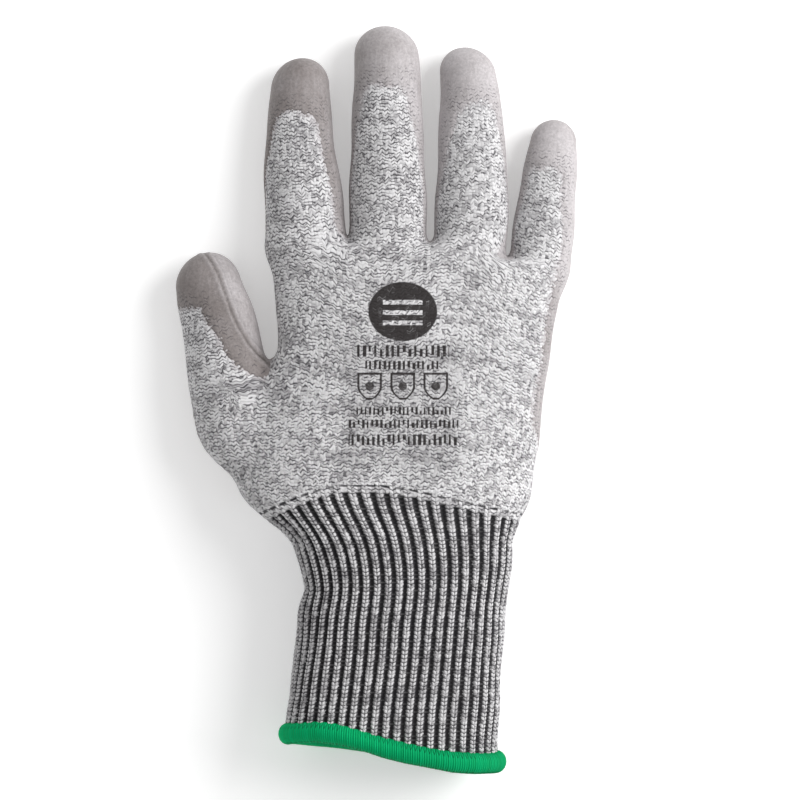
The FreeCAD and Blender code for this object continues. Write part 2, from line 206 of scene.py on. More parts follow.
# ---- shape field ----
def smooth_table(values, ys, reach):
    """Values interpolated onto ys and averaged over a window of that reach."""
    fine = np.interp(ys, STATIONS[:, 0], values)
    window = np.hanning(int(reach * 4) | 1)
    padded = np.pad(fine, len(window) // 2, mode="edge")
    return np.convolve(padded, window / window.sum(), mode="valid")


TABLE_Y = np.arange(-128.0, 60.01, 0.5)
TABLE_L, TABLE_R, TABLE_H = (smooth_table(STATIONS[:, k], TABLE_Y, 2.5) for k in (1, 2, 3))


def section_at(y):
    """Centre x, centre z and half sizes of the hand's oval at y."""
    left, right, high = (np.interp(y, TABLE_Y, t) for t in (TABLE_L, TABLE_R, TABLE_H))
    return (left + right) / 2, high / 2 - SUNK, (right - left) / 2, high / 2


def smin(a, b, k):
    """The smaller of two distances, rounded over k mm where they meet."""
    return np.minimum(a, b) - np.maximum(k - np.abs(a - b), 0) ** 2 / (4 * k)


def smax(a, b, k):
    return -smin(-a, -b, k)


def prepare(name, limb):
    """Adds a limb's length, directions and foot to its numbers."""
    run = np.array(limb["tip"]) - np.array(limb["root"])
    limb["length"] = float(np.hypot(*run))
    limb["along"] = run / limb["length"]
    limb["across"] = np.array([limb["along"][1], -limb["along"][0]])
    limb["end"] = limb["length"] - limb["widths"][-1] / 2
    limb["foot"] = THUMB_FOOT if name == "thumb" else FINGER_FOOT
    limb["name"] = name


for limb_name, limb_data in LIMBS.items():
    prepare(limb_name, limb_data)


def limb_coords(limb, x, y, z):
    """Distance from the root, distance to the right, height above the axis, and half width there."""
    dx, dy = x - limb["root"][0], y - limb["root"][1]
    s = dx * limb["along"][0] + dy * limb["along"][1]
    share = np.clip(s / limb["length"], 0, 1)
    a = dx * limb["across"][0] + dy * limb["across"][1] - limb["bow"] * np.sin(np.pi * share)
    half = np.interp(s, np.linspace(0, limb["end"], 5), np.array(limb["widths"]) / 2)
    middle = half * HEIGHT_SHARE - SUNK
    if limb["name"] == "thumb":
        middle = middle + (THUMB_FOOT_Z - middle) * np.clip(-s / 30.0, 0, 1)
    return s, a, z - middle, half


def limb_field(limb, x, y, z):
    """Signed distance to a finger or the thumb, without the hand."""
    s, a, h, half = limb_coords(limb, x, y, z)
    tall = half * HEIGHT_SHARE
    body, foot = limb["foot"]
    beyond = np.maximum(s - limb["end"], 0) / (limb["widths"][-1] / 2) + np.maximum(-s - body, 0) / foot
    q = np.sqrt((a / half) ** 2 + (h / tall) ** 2 + beyond ** 2) + 1e-6
    slope = np.sqrt((a / half ** 2) ** 2 + (h / tall ** 2) ** 2 + (beyond / half) ** 2) / q
    return (q - 1) / np.maximum(slope, 0.02)


def oval_field(x, y, z):
    """Signed distance to the tube of the palm and cuff."""
    cx, cz, rx, rz = section_at(y)
    u, v = np.abs(x - cx) / rx, np.abs(z - cz) / rz
    q = (u ** OVAL_POWER + v ** OVAL_POWER) ** (1 / OVAL_POWER) + 1e-6
    slope = q ** (1 - OVAL_POWER) * np.hypot(u ** (OVAL_POWER - 1) / rx, v ** (OVAL_POWER - 1) / rz)
    return (q - 1) / np.maximum(slope, 0.01)


def hand_field(x, y, z):
    return smax(oval_field(x, y, z), y - np.interp(x, CROTCH_X, CROTCH_Y), CROTCH_ROUND)


def ripple(x, y, z):
    """Gentle unevenness of the filled-out fabric, in mm outwards."""
    return (0.35 * np.sin(x * 0.11 + 1.3) * np.sin(y * 0.083 + 0.4)
            + 0.22 * np.sin(x * 0.21 - y * 0.13 + z * 0.2) + 0.18 * np.sin(y * 0.27 + x * 0.05 + 2.0))


def glove_field(x, y, z):
    """Signed distance to the outside of the glove, about right near the surface, negative inside."""
    fingers = None
    for name in FINGERS:
        d = limb_field(LIMBS[name], x, y, z)
        fingers = d if fingers is None else smin(fingers, d, BETWEEN_FINGERS)
    whole = smin(hand_field(x, y, z), fingers, FINGER_WEB)
    whole = smin(whole, limb_field(THUMB, x, y, z), THUMB_WEB)
    whole = whole - ripple(x, y, z) * np.clip(z / 10.0, 0, 1)
    return smax(whole, -z, GROUND_ROUND)


def gradient(x, y, z):
    e = 0.15
    return np.stack([glove_field(x + e, y, z) - glove_field(x - e, y, z),
                     glove_field(x, y + e, z) - glove_field(x, y - e, z),
                     glove_field(x, y, z + e) - glove_field(x, y, z - e)], 1) / (2 * e)


def settle(points, rounds=3):
    """Points moved onto the surface, with the outward unit normals there."""
    for _ in range(rounds):
        f = glove_field(*points.T)
        g = gradient(*points.T)
        points = points - g * (f / np.maximum((g ** 2).sum(1), 0.05))[:, None]
    g = gradient(*points.T)
    return points, g / np.linalg.norm(g, axis=1, keepdims=True)


# ---- surface net ----
def surface_net(low, high, step):
    """Quads of the glove's surface on a grid: vertices (n, 3) and faces (m, 4), wound outwards."""
    axes = [np.arange(a, b + s, s, dtype=np.float32) for a, b, s in zip(low, high, step)]
    field = np.empty([len(a) for a in axes], np.float32)
    slab = 24
    for start in range(0, len(axes[1]), slab):
        x, y, z = np.meshgrid(axes[0], axes[1][start:start + slab], axes[2], indexing="ij", sparse=True)
        x, y, z = np.broadcast_arrays(x, y, z)
        field[:, start:start + slab] = glove_field(x, y, z)
    inside = field < 0
    count = np.zeros([n - 1 for n in field.shape], np.uint8)
    shifts = [(i, j, k) for i in (0, 1) for j in (0, 1) for k in (0, 1)]
    for i, j, k in shifts:
        count += inside[i:count.shape[0] + i, j:count.shape[1] + j, k:count.shape[2] + k]
    cells = np.argwhere((count > 0) & (count < 8))
    number = np.full(count.shape, -1, np.int32)
    number[tuple(cells.T)] = np.arange(len(cells))
    corner = {s: field[tuple((cells + s).T)] for s in shifts}
    total, hits = np.zeros((len(cells), 3)), np.zeros(len(cells))
    for s in shifts:
        for axis in range(3):
            if s[axis] == 1:
                continue
            t = tuple(1 if a == axis else v for a, v in enumerate(s))
            a, b = corner[s], corner[t]
            cut = (a < 0) != (b < 0)
            share = np.where(cut, a / np.where(cut, a - b, 1), 0)
            place = np.array(s, float)[None, :] + share[:, None] * (np.arange(3) == axis)
            total += place * cut[:, None]
            hits += cut
    points = (cells + total / hits[:, None]) * np.array(step) + np.array([a[0] for a in axes])
    quads = []
    for axis in range(3):
        b, c = (axis + 1) % 3, (axis + 2) % 3
        near = [slice(1, -1)] * 3
        near[axis] = slice(0, -1)
        far = list(near)
        far[axis] = slice(1, None)
        first, second = inside[tuple(near)], inside[tuple(far)]
        edge = np.argwhere(first != second)
        outward = first[tuple(edge.T)]
        ring = []
        for db, dc in ((0, 0), (1, 0), (1, 1), (0, 1)):
            cell = edge.copy()
            cell[:, b] += db
            cell[:, c] += dc
            ring.append(number[tuple(cell.T)])
        ring = np.stack(ring, 1)
        ring[~outward] = ring[~outward][:, ::-1]
        quads.append(ring)
    return points, np.concatenate(quads)


# ---- stitch coordinates ----
def arc_table():
    """Arc length round the hand, with the thumb's root, for each ARC_Y and each angle from the top."""
    y, turn = np.broadcast_arrays(ARC_Y[:, None], ARC_T[None, :])
    cx, cz, _, _ = section_at(y)
    low, high = np.zeros(y.shape), np.full(y.shape, 95.0)
    for _ in range(24):
        middle = (low + high) / 2
        x, z = cx + middle * np.sin(turn), cz + middle * np.cos(turn)
        field = oval_field(x, y, z)
        field = np.where(y < 11, smin(field, limb_field(THUMB, x, y, z), THUMB_WEB), field)
        low, high = np.where(field < 0, middle, low), np.where(field < 0, high, middle)
    x, z = low * np.sin(turn), low * np.cos(turn)
    steps = np.hypot(np.diff(x, axis=1), np.diff(z, axis=1))
    return np.concatenate([np.zeros((len(ARC_Y), 1)), np.cumsum(steps, 1)], 1)


ARC = arc_table()


def hand_wale(x, y, z):
    """Stitch column round the hand, 0 on a line down the back of the hand."""
    cx, cz, _, rz = section_at(y)
    row = np.clip((y - ARC_Y[0]) / ARC_STEP, 0, len(ARC_Y) - 1.001)
    i = row.astype(int)
    f = row - i

    def arc_at(dx, dz):
        col = np.clip((np.arctan2(dx, dz) + np.pi) / (2 * np.pi) * ARC_PARTS, 0, ARC_PARTS - 0.001)
        j = col.astype(int)
        g = col - j
        return ((ARC[i, j] * (1 - g) + ARC[i, j + 1] * g) * (1 - f)
                + (ARC[i + 1, j] * (1 - g) + ARC[i + 1, j + 1] * g) * f)

    middle = np.interp(y, (-43.0, 57.0), (1.7, 9.5))
    wale = np.interp(y, (-43.0, -18.0), (CUFF_WALE, WALE))
    return (arc_at(x - cx, z - cz) - arc_at(middle - cx, rz)) / wale


def ease(x, low, high):
    """0 below low, 1 above high, smooth between them."""
    t = np.clip((x - low) / (high - low), 0, 1)
    return t * t * (3 - 2 * t)


def limb_wale(limb, x, y, z):
    """Stitch column and course on a finger or the thumb, counted on from the hand's."""
    s, a, h, _ = limb_coords(limb, x, y, z)
    turn = np.arctan2(a, h / HEIGHT_SHARE)
    if "zero" not in limb:
        at = 1.5 if limb["name"] == "thumb" else -5.0
        px, py = np.array(limb["root"]) + limb["along"] * at
        _, cz, _, rz = section_at(np.array([py]))
        high = 24.0 if limb["name"] == "thumb" else cz + rz
        limb["zero"] = float(hand_wale(np.array([px]), np.array([py]), high)[0])
    return limb["zero"] + turn / (2 * np.pi) * limb["wales"], (limb["root"][1] + s) / COURSE


def bell(x, centre, width):
    """1 at the centre, falling to nothing over about twice the width."""
    return np.exp(-((x - centre) / width) ** 2)


def wander(x, y):
    """How far the courses wander from straight lines across the hand, in mm."""
    drift = DRIFT * np.sin((x + 18.0) * 2 * np.pi / 52.0) * ease(y, -5.0, 32.0)
    return drift + LEAN * np.maximum(x - 8.0, 0) ** 2


def stitch_uv(x, y, z):
    """Stitch coordinates: with the hand's columns and with the finger's for each finger, and the thumb's."""
    u0, v0 = hand_wale(x, y, z), (y + wander(x, y)) / COURSE
    sway = 0.16 * np.sin(x * 0.9 + 1.7 * np.sin(y * 0.43)) * np.sin(y * 1.05 + z * 0.5 + np.sin(x * 0.31))
    rise = (0.30 * np.sin(x * 0.83 + 1.9 * np.sin(y * 0.37 + 0.8)) * np.sin(y * 0.71 - z * 0.4)
            + 0.20 * np.sin(x * 1.7 + y * 0.6 + 2.0 * np.sin(x * 0.23)))
    nearer = oval_field(x, y, z) - limb_field(THUMB, x, y, z)
    s = limb_coords(THUMB, x, y, z)[0]
    ut, vt = limb_wale(THUMB, x, y, z)
    v0 = v0 + (vt - v0) * ease(s, -16.0, 6.0) * ease(nearer, -4.0, 2.0) * (x < THUMB_WALES_X)
    hand, limbs = [], []
    for name in FINGERS:
        s = limb_coords(LIMBS[name], x, y, z)[0]
        u, v = limb_wale(LIMBS[name], x, y, z)
        v = v + wander(*LIMBS[name]["root"]) / COURSE
        v = v0 + (v - v0) * ease(s, -14.0, 8.0) + rise
        hand.append(np.stack([u0 + sway, v], 1))
        limbs.append(np.stack([u + sway, v], 1))
    return np.stack(hand), np.stack(limbs), np.stack([ut + sway, v0 + rise], 1)


def nearest_finger(x, y, z):
    """Number of the finger whose axis is nearest."""
    spread = np.stack([np.abs(limb_coords(LIMBS[n], x, y, z)[1]) / LIMBS[n]["widths"][0] for n in FINGERS])
    return spread.argmin(0)


def stitch_height(u, v):
    """0 in the valleys to 1 on top of a stitch's leg."""
    side = np.abs(u - np.floor(u) - 0.5) * 2
    rise = v + STITCH_SLANT * side / 2
    t = rise - np.floor(rise)
    return (1 - 0.5 * (2 * side - 1) ** 4) * (1 - np.abs(2 * t - 1) ** 2.5)


# ---- film ----
def offset_from(path, x, y):
    """Signed plan distance to a line of points, positive on its left."""
    best = np.full(np.shape(x), 99.0)
    for (x0, y0), (x1, y1) in zip(path[:-1], path[1:]):
        dx, dy = x1 - x0, y1 - y0
        t = np.clip(((x - x0) * dx + (y - y0) * dy) / (dx * dx + dy * dy), 0, 1)
        ox, oy = x - x0 - t * dx, y - y0 - t * dy
        far = np.hypot(ox, oy) * np.where(dx * oy - dy * ox < 0, -1, 1)
        best = np.where(np.abs(far) < np.abs(best), far, best)
    return best


def film_reach(x, y, z):
    """Signed distance in mm to the film's edge, positive where the film is."""
    cx, cz, rx, rz = section_at(y)
    right_edge = cz + rz * (0.46 * ease(y, -22.0, -6.0) - 0.35 * ease(-y, 6.0, 30.0))
    left_edge = cz - rz * 0.15
    share = np.clip((x - cx) / rx * 0.5 + 0.5, 0, 1)
    edge = left_edge + (right_edge - left_edge) * ease(share, 0.3, 0.7)
    reach = np.minimum(edge - z, y + 31.0 + 1.2 * np.sin(x * 0.13))
    for k, name in enumerate(FINGERS):
        limb = LIMBS[name]
        s, a, h, half = limb_coords(limb, x, y, z)
        start = limb["length"] - limb["tip_film"]
        near_tip = ease(s, start - 36.0, start + 2.0)
        climb = np.radians(np.where(a < 0, *limb["climb"]) + np.where(a < 0, *limb["rise"]) * near_tip)
        side = (climb - np.arctan2(h / HEIGHT_SHARE, np.abs(a))) * half
        tip = s - start + 0.8 * np.sin(a * 0.5 + k)
        own = smax(side, tip, 6.0)
        mine = (nearest_finger(x, y, z) == k) * ease(s, -5.0, 5.0)
        reach = reach + (own - reach) * mine
    s, a, h, half = limb_coords(THUMB, x, y, z)
    plan = offset_from(THUMB_FILM_EDGE, x, y)
    under = (math.radians(-8.0) - np.arctan2(h, np.abs(a))) * half
    own = smax(plan, under, 3.0)
    mine = (x < -36) * ease(s, -14.0, 2.0) * ease(-a, -18.0, -11.0)
    return reach + (own - reach) * mine


def fray(x, y, z):
    """Ragged edge of the film, in mm."""
    return (0.7 * np.sin(x * 1.9 + 2.1 * np.sin(y * 0.9)) * np.sin(y * 1.7 + z * 1.3)
            + 0.5 * np.sin(x * 3.3 + y * 2.9 + z * 2.2))


# ---- mesh helpers ----
def vertex_normals(points, faces):
    a, b, c, d = (points[faces[:, k]] for k in range(4))
    n = np.cross(c - a, d - b)
    out = np.zeros_like(points)
    for k in range(4):
        for axis in range(3):
            out[:, axis] += np.bincount(faces[:, k], n[:, axis], len(points))
    return out / np.maximum(np.linalg.norm(out, axis=1, keepdims=True), 1e-9)


def new_object(name, data):
    item = bpy.data.objects.new(name, data)
    bpy.context.scene.collection.objects.link(item)
    return item


def make_piece(name, points, faces, material, normals=None, uv=None, values=None, rest=None):
    """A mesh object from mm points and quads, keeping only the vertices it uses."""
    used = np.unique(faces)
    place = np.full(len(points), -1)
    place[used] = np.arange(len(used))
    own = place[faces]
    mesh = bpy.data.meshes.new(name)
    mesh.vertices.add(len(used))
    mesh.vertices.foreach_set("co", (points[used] * MM).astype(np.float32).ravel())
    mesh.loops.add(own.size)
    mesh.loops.foreach_set("vertex_index", own.ravel().astype(np.int32))
    mesh.polygons.add(len(own))
    mesh.polygons.foreach_set("loop_start", (np.arange(len(own)) * 4).astype(np.int32))
    mesh.polygons.foreach_set("use_smooth", np.ones(len(own), bool))
    mesh.update(calc_edges=True)
    if uv is not None:
        layer = mesh.uv_layers.new(name="stitch")
        layer.data.foreach_set("uv", uv.reshape(-1).astype(np.float32))
    for key, value in (values or {}).items():
        mesh.attributes.new(key, "FLOAT", "POINT").data.foreach_set("value", value[used].astype(np.float32))
    if rest is not None:
        mesh.attributes.new("rest", "FLOAT_VECTOR", "POINT").data.foreach_set(
            "vector", rest[used].astype(np.float32).ravel())
    mesh.validate()
    if normals is not None:
        mesh.normals_split_custom_set_from_vertices(normals[used].tolist())
    mesh.materials.append(material)
    piece = new_object(name, mesh)
    return piece


# ---- materials ----
class Graph:
    """Short names for building a node tree."""

    def __init__(self, name):
        self.material = bpy.data.materials.new(name)
        self.material.use_nodes = True
        self.nodes, self.links = self.material.node_tree.nodes, self.material.node_tree.links
        self.nodes.clear()
        self.shader = self.nodes.new("ShaderNodeBsdfPrincipled")
        out = self.nodes.new("ShaderNodeOutputMaterial")
        self.links.new(self.shader.outputs[0], out.inputs[0])

    def put(self, socket, value):
        """Feeds a socket from another one, or sets it to a number or a colour."""
        if isinstance(value, bpy.types.NodeSocket):
            self.links.new(value, socket)
        else:
            socket.default_value = (*value, 1) if isinstance(value, tuple) else value

    def math(self, op, *values, clamp=False):
        node = self.nodes.new("ShaderNodeMath")
        node.operation, node.use_clamp = op, clamp
        for socket, value in zip(node.inputs, values):
            self.put(socket, value)
        return node.outputs[0]

    add = partialmethod(math, "ADD")
    sub = partialmethod(math, "SUBTRACT")
    mul = partialmethod(math, "MULTIPLY")
    div = partialmethod(math, "DIVIDE")
    mul_add = partialmethod(math, "MULTIPLY_ADD")
    abs = partialmethod(math, "ABSOLUTE")
    max = partialmethod(math, "MAXIMUM")
    above = partialmethod(math, "GREATER_THAN")
    below = partialmethod(math, "LESS_THAN")
    floor = partialmethod(math, "FLOOR")
    fract = partialmethod(math, "FRACT")

    def value(self, name, output="Fac"):
        """What the mesh's points carry under that name."""
        node = self.nodes.new("ShaderNodeAttribute")
        node.attribute_name = name
        return node.outputs[output]

    def rest(self):
        """The point's place in mm before anything bends."""
        return self.value("rest", "Vector")

    def uv(self):
        """Stitch column and course."""
        node = self.nodes.new("ShaderNodeUVMap")
        node.uv_map = "stitch"
        return self.split(node.outputs[0])[:2]

    def vector(self, x=0, y=0, z=0):
        node = self.nodes.new("ShaderNodeCombineXYZ")
        for socket, value in zip(node.inputs, (x, y, z)):
            self.put(socket, value)
        return node.outputs[0]

    def split(self, vector):
        node = self.nodes.new("ShaderNodeSeparateXYZ")
        self.links.new(vector, node.inputs[0])
        return node.outputs

    def noise(self, vector, scale, detail=2, rough=0.5):
        node = self.nodes.new("ShaderNodeTexNoise")
        self.put(node.inputs["Vector"], vector)
        node.inputs["Scale"].default_value = scale
        node.inputs["Detail"].default_value = detail
        node.inputs["Roughness"].default_value = rough
        return node.outputs[0]

    def white(self, vector):
        node = self.nodes.new("ShaderNodeTexWhiteNoise")
        node.noise_dimensions = "3D"
        self.links.new(vector, node.inputs["Vector"])
        return node.outputs[0]

    def span(self, value, low, high, to_low=0, to_high=1, smooth=True):
        node = self.nodes.new("ShaderNodeMapRange")
        node.interpolation_type = "SMOOTHSTEP" if smooth else "LINEAR"
        node.clamp = True
        for socket, item in zip(node.inputs, (value, low, high, to_low, to_high)):
            self.put(socket, item)
        return node.outputs[0]

    def near(self, value, centre, low, high):
        """1 within low of the centre, 0 further from it than high."""
        return self.span(self.abs(self.sub(value, centre)), low, high, 1, 0)

    def mix(self, share, a, b):
        node = self.nodes.new("ShaderNodeMix")
        node.data_type = "RGBA"
        self.put(node.inputs[0], share)
        self.put(node.inputs[6], a)
        self.put(node.inputs[7], b)
        return node.outputs[2]

    def times(self, colour, factor):
        """A colour multiplied by a number."""
        node = self.nodes.new("ShaderNodeMix")
        node.data_type, node.blend_type = "RGBA", "MULTIPLY"
        node.inputs[0].default_value = 1
        self.put(node.inputs[6], colour)
        self.put(node.inputs[7], self.vector(factor, factor, factor))
        return node.outputs[2]

    def bump(self, height, distance, strength):
        node = self.nodes.new("ShaderNodeBump")
        node.inputs["Strength"].default_value = strength
        node.inputs["Distance"].default_value = distance
        self.put(node.inputs["Height"], height)
        return node.outputs[0]

    def finish(self, colour, rough, normal=None, sheen=0, shine=0.3):
        self.put(self.shader.inputs["Base Color"], colour)
        self.put(self.shader.inputs["Roughness"], rough)
        self.shader.inputs["Sheen Weight"].default_value = sheen
        self.shader.inputs["Sheen Roughness"].default_value = 0.5
        self.shader.inputs["Specular IOR Level"].default_value = shine
        if normal is not None:
            self.put(self.shader.inputs["Normal"], normal)
        return self.material


def stitch_nodes(g, u, v, width=1, valley=0.5):
    """Height of a stitch's leg, seeds for the leg and for the gap below it, the leg's side and its climb."""
    offset = g.sub(g.fract(u), 0.5)
    side = g.div(g.abs(offset), 0.5 * width)
    rise = g.mul_add(side, STITCH_SLANT / 2, v)
    t = g.fract(rise)
    across = g.mul_add(side, 2, -1)
    leg = g.mul_add(g.math("POWER", g.abs(across), 4), -valley, 1, clamp=True)
    swing = g.mul_add(t, 2, -1)
    swing = g.math("POWER", g.abs(swing), 2.5)
    height = g.mul(leg, g.sub(1, swing), clamp=True)
    half = g.above(offset, 0)
    column = g.mul_add(g.floor(u), 2, half)
    seed = g.vector(column, g.floor(rise), 0)
    gap = g.vector(column, g.floor(g.add(rise, 0.5)), 9)
    return height, seed, gap, side, rise


def gap_shade_and_flecks(g, height, gap, share, strong):
    """How dark the gap between two stitches is: mostly a faint painted shade, and deep where a dark strand
    shows.
    """
    pick = g.span(g.white(gap), 1 - share - 0.18, 1 - share + 0.18, 0.14, 1)
    return g.mul(g.span(height, 0.15, 0.80, strong, 0), pick)


def melange(g, u, rise, height, seed, gap, share, strong):
    """Salt-and-pepper yarn: light legs of uneven tone, a dark ply in some, and painted shade in the gaps
    between them, deep where a dark strand shows.
    """
    patch = g.noise(g.vector(g.mul(u, 0.16), g.mul(rise, 0.22), 3), 1, 2)
    pick = g.white(seed)
    tone = g.mul_add(g.span(patch, 0.3, 0.7), 0.45, g.mul(pick, 0.55))
    base = g.mix(g.span(tone, 0.25, 0.95), LIGHT_YARN, GREY_YARN)
    strand = g.noise(g.vector(g.mul(u, 1.3), g.mul(rise, 2.6), 11), 1, 1)
    ply = g.span(g.mul_add(pick, 0.22, strand), 0.70, 0.80, 0, 0.72)
    base = g.mix(ply, base, DARK_YARN_AND_SHADE)
    return g.mix(gap_shade_and_flecks(g, height, gap, share, strong), base, DARK_YARN_AND_SHADE)


def box_mask(g, x, y, cx, cy, half_x, half_y, soft=0.12):
    """1 inside a plan rectangle, 0 outside."""
    dx = g.sub(g.abs(g.sub(x, cx)), half_x)
    dy = g.sub(g.abs(g.sub(y, cy)), half_y)
    return g.span(g.max(dx, dy), -soft, soft, 1, 0)


def dash_row(g, x, y, cy, half_x, half_y, pitch, seed):
    """A row of plain dashes of uneven length, some of them short and shifted up or down."""
    cell = g.div(x, pitch)
    pick = g.white(g.vector(g.floor(cell), seed, 0))
    lit = g.below(g.fract(cell), g.mul_add(pick, 0.30, 0.36))
    low = g.mul(g.sub(g.white(g.vector(g.floor(cell), seed, 5)), 0.5), half_y)
    short = g.above(g.sub(half_y, g.abs(low)), g.abs(g.sub(g.sub(y, cy), low)))
    whole = g.above(g.white(g.vector(g.floor(cell), seed, 8)), 0.45)
    lit = g.mul(lit, g.max(short, whole))
    return g.mul(box_mask(g, x, y, 0, cy, half_x, half_y), lit)


def shield(g, x, y, cx, cy):
    """Outline of a plain shield with a dot in it."""
    dx = g.abs(g.sub(x, cx))
    dy = g.sub(y, cy)
    drop = g.max(g.mul(dy, -1), 0)
    taper = g.mul_add(g.mul(drop, drop), 0.16, dx)
    edge = g.max(g.sub(taper, 4.1), g.sub(g.abs(dy), 4.5))
    line = g.span(g.abs(g.add(edge, 0.35)), 0.25, 0.5, 1, 0)
    far = g.math("SQRT", g.add(g.mul(dx, dx), g.mul(dy, dy)))
    return g.max(line, g.span(far, 1.3, 1.6, 0.9, 0))


def print_mask(g):
    """Ink of the generic printed mark on the back of the hand: a disc with bars, shields and dashes."""
    x, y, z = g.split(g.rest())
    dx, dy = g.sub(x, PRINT_X), g.sub(y, PRINT_Y + DISC_UP)
    flat = g.mul(dx, 0.86)
    far = g.math("SQRT", g.add(g.mul(flat, flat), g.mul(dy, dy)))
    disc = g.span(far, DISC_RADIUS - 0.3, DISC_RADIUS, 1, 0)
    bars = g.mul(box_mask(g, dx, dy, 0, 0, *BARS_HALF),
                 g.below(g.fract(g.div(g.add(dy, BARS_HALF[1]), BAR_PITCH)), 0.45))
    ink = g.sub(disc, bars, clamp=True)
    for row, (up, half_x, half_y, pitch) in enumerate(PRINT_ROWS):
        ink = g.max(ink, dash_row(g, dx, y, PRINT_Y + up, half_x, half_y, pitch, row))
    for side in (-SHIELD_STEP, 0, SHIELD_STEP):
        ink = g.max(ink, shield(g, dx, y, side, PRINT_Y + SHIELD_UP))
    return g.mul(ink, g.span(z, 14, 16))


def knit_material():
    """Grey melange knit, tinted where the film soaks through, with the printed mark on its back."""
    g = Graph("hand_knit")
    u, v = g.uv()
    height, seed, gap, _, rise = stitch_nodes(g, u, v)
    x, y, z = g.split(g.rest())
    # Painted light: towards the little finger's side the key light catches one leg of each stitch, so the
    # gaps along that half of each column get fainter.
    second = g.above(g.fract(u), 0.5)
    strong = g.mul_add(g.mul(second, g.span(x, 4, 30)), -0.50, 1)
    colour = melange(g, u, rise, height, seed, gap, 0.60, strong)
    # The knit is darker in a box round the mark, on the back of the hand.
    darker_round_mark = box_mask(g, x, y, PRINT_X, PRINT_Y - 2, 20, 22, 3)
    darker_round_mark = g.mul(darker_round_mark, g.span(z, 14, 18))
    colour = g.times(colour, g.mul_add(darker_round_mark, -0.17, 1))
    soak = g.mul_add(g.white(seed), 1.8, g.value("film"))
    stain = g.span(g.mul_add(g.noise(g.rest(), 0.35), 3, soak), 1, 2.9)
    stained = g.mix(gap_shade_and_flecks(g, height, gap, 0.34, 0.9), FILM_LIGHT, DARK_YARN_AND_SHADE)
    colour = g.mix(g.mul(stain, 0.9), colour, stained)
    # The ink is worn on some stitches.
    worn = g.span(g.mul_add(height, 0.5, g.white(seed)), 0.1, 0.55, 0.72, 0.98)
    colour = g.mix(g.mul(print_mask(g), worn), colour, INK)
    fibre = g.noise(g.vector(g.mul(u, 9), g.mul(rise, 3)), 1, 2)
    relief = g.mul_add(fibre, 0.25, height)
    return g.finish(colour, g.span(stain, 0, 1, 0.9, 0.62), g.bump(relief, 0.00017, 0.9), sheen=0.05)


def film_material():
    """Matt grey film: blotchy, with the stitches showing faintly near its edge."""
    g = Graph("palm_film")
    u, v = g.uv()
    height, _, gap, _, _ = stitch_nodes(g, u, v)
    rest = g.rest()
    reach = g.value("film")
    x, y, z = g.split(rest)
    blotch = g.mul_add(g.noise(rest, 0.09, 3), 0.32, 0.34)
    streak = g.noise(g.vector(g.mul(x, 0.9), g.mul(y, 0.12), g.mul(z, 0.9)), 1, 2)
    fine = g.noise(rest, 1.15, 4, 0.7)
    # Painted light: the film is painted dark on the thumb and the index finger and paler beyond them,
    # towards the key light on the right, and all one tone underneath.
    across = g.span(x, -40, 6, -0.11, 0.19, smooth=False)
    across = g.add(across, g.span(x, 12, 60, 0, 0.04, smooth=False))
    across = g.sub(across, g.mul(g.span(x, 10, 30), g.span(y, 30, 52, 0.15, 0)))
    across = g.mul_add(g.add(across, 0.05), g.span(z, 3, 13), -0.05)
    # Painted light on the thumb's ridge and on its part right of the crease, which faces the hand and gets
    # little of the key light.
    pale = g.mul(g.value("thumb_painted_light"), 0.24)
    tone = g.add(g.add(blotch, across), g.mul_add(streak, 0.16, -0.08))
    colour = g.mix(g.span(g.add(tone, pale), 0.30, 0.85), FILM_DARK, FILM_LIGHT)
    colour = g.times(colour, g.span(fine, 0.25, 0.75, 0.80, 1.16))
    # Painted shade in the thumb's crease and in the fine groove to its right.
    colour = g.times(colour, g.span(g.value("crease"), 0, 1, 1, 0.66))
    thin = g.span(g.mul_add(g.white(gap), -3, reach), -1, 6.5, 0.75, 0)
    colour = g.mix(g.mul(gap_shade_and_flecks(g, height, gap, 0.40, 1), thin), colour, DARK_YARN_AND_SHADE)
    relief = g.mul_add(fine, 0.5, g.mul(height, g.span(reach, 0, 7, 0.8, 0.22)))
    return g.finish(colour, g.span(fine, 0.2, 0.8, 0.55, 0.68), g.bump(relief, 0.00016, 0.5), sheen=0.1)


